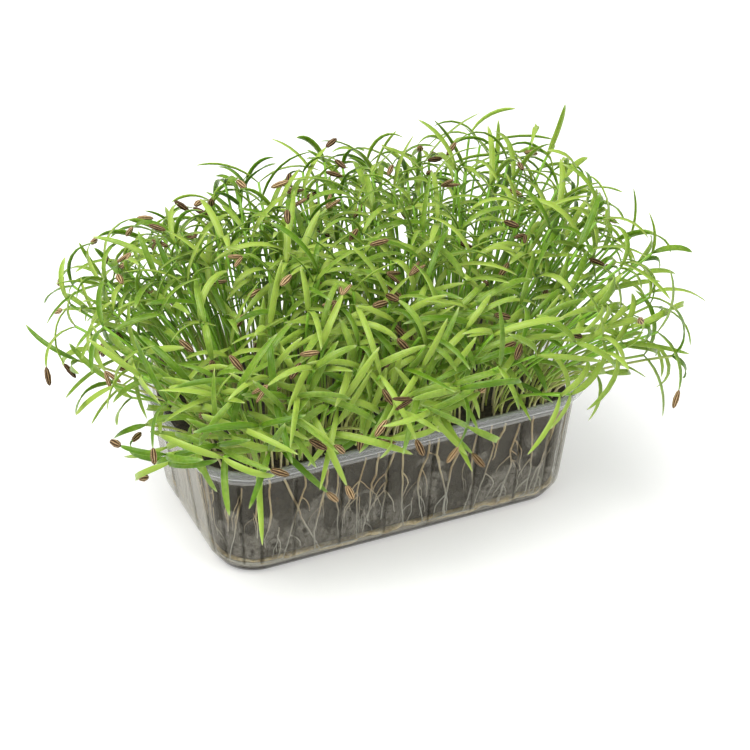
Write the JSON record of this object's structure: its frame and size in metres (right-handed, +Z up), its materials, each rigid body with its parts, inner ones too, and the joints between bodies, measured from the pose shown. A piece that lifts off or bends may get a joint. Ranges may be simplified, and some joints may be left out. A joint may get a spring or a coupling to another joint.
{
  "type": "microgreens tray",
  "caption": "Clear ribbed plastic tray of fennel microgreens: dark growing medium lined with pale roots under a dense, spreading crop of thin-stemmed seedlings with strap-shaped leaves.",
  "frame": {"origin": "centre of the tray's flat underside", "axes": "+X along the tray's length, +Y across it, +Z up"},
  "size_m": [0.2478, 0.1886, 0.1407],
  "materials": {
    "clear_plastic": "clear, glossy, thin thermoformed sheet",
    "growing_medium": "matt, damp, crumbly dark peat and fibre",
    "root": "matt, pale tan felted roots",
    "seedling": "satin fresh green leaf, paler stem, brown seed hulls"
  },
  "bodies": {
    "root": {"tray": "clear_plastic", "growing_medium": "growing_medium", "root_mat": "root", "seedlings_01": "seedling", "seedlings_02": "seedling", "seedlings_03": "seedling", "seedlings_04": "seedling", "seedlings_05": "seedling", "seedlings_06": "seedling", "seedlings_07": "seedling", "seedlings_08": "seedling", "seedlings_09": "seedling", "seedlings_10": "seedling", "seedlings_11": "seedling", "seedlings_12": "seedling", "seedlings_13": "seedling", "seedlings_14": "seedling", "seedlings_15": "seedling", "seedlings_16": "seedling", "seedlings_17": "seedling", "seedlings_18": "seedling", "seedlings_19": "seedling", "seedlings_20": "seedling", "seedlings_21": "seedling", "seedlings_22": "seedling", "seedlings_23": "seedling", "seedlings_24": "seedling", "seedlings_25": "seedling", "seedlings_26": "seedling", "seedlings_27": "seedling", "seedlings_28": "seedling", "seedlings_29": "seedling", "seedlings_30": "seedling", "seedlings_31": "seedling", "seedlings_32": "seedling", "seedlings_33": "seedling", "seedlings_34": "seedling", "seedlings_35": "seedling", "seedlings_36": "seedling"}
  },
  "joints": []
}
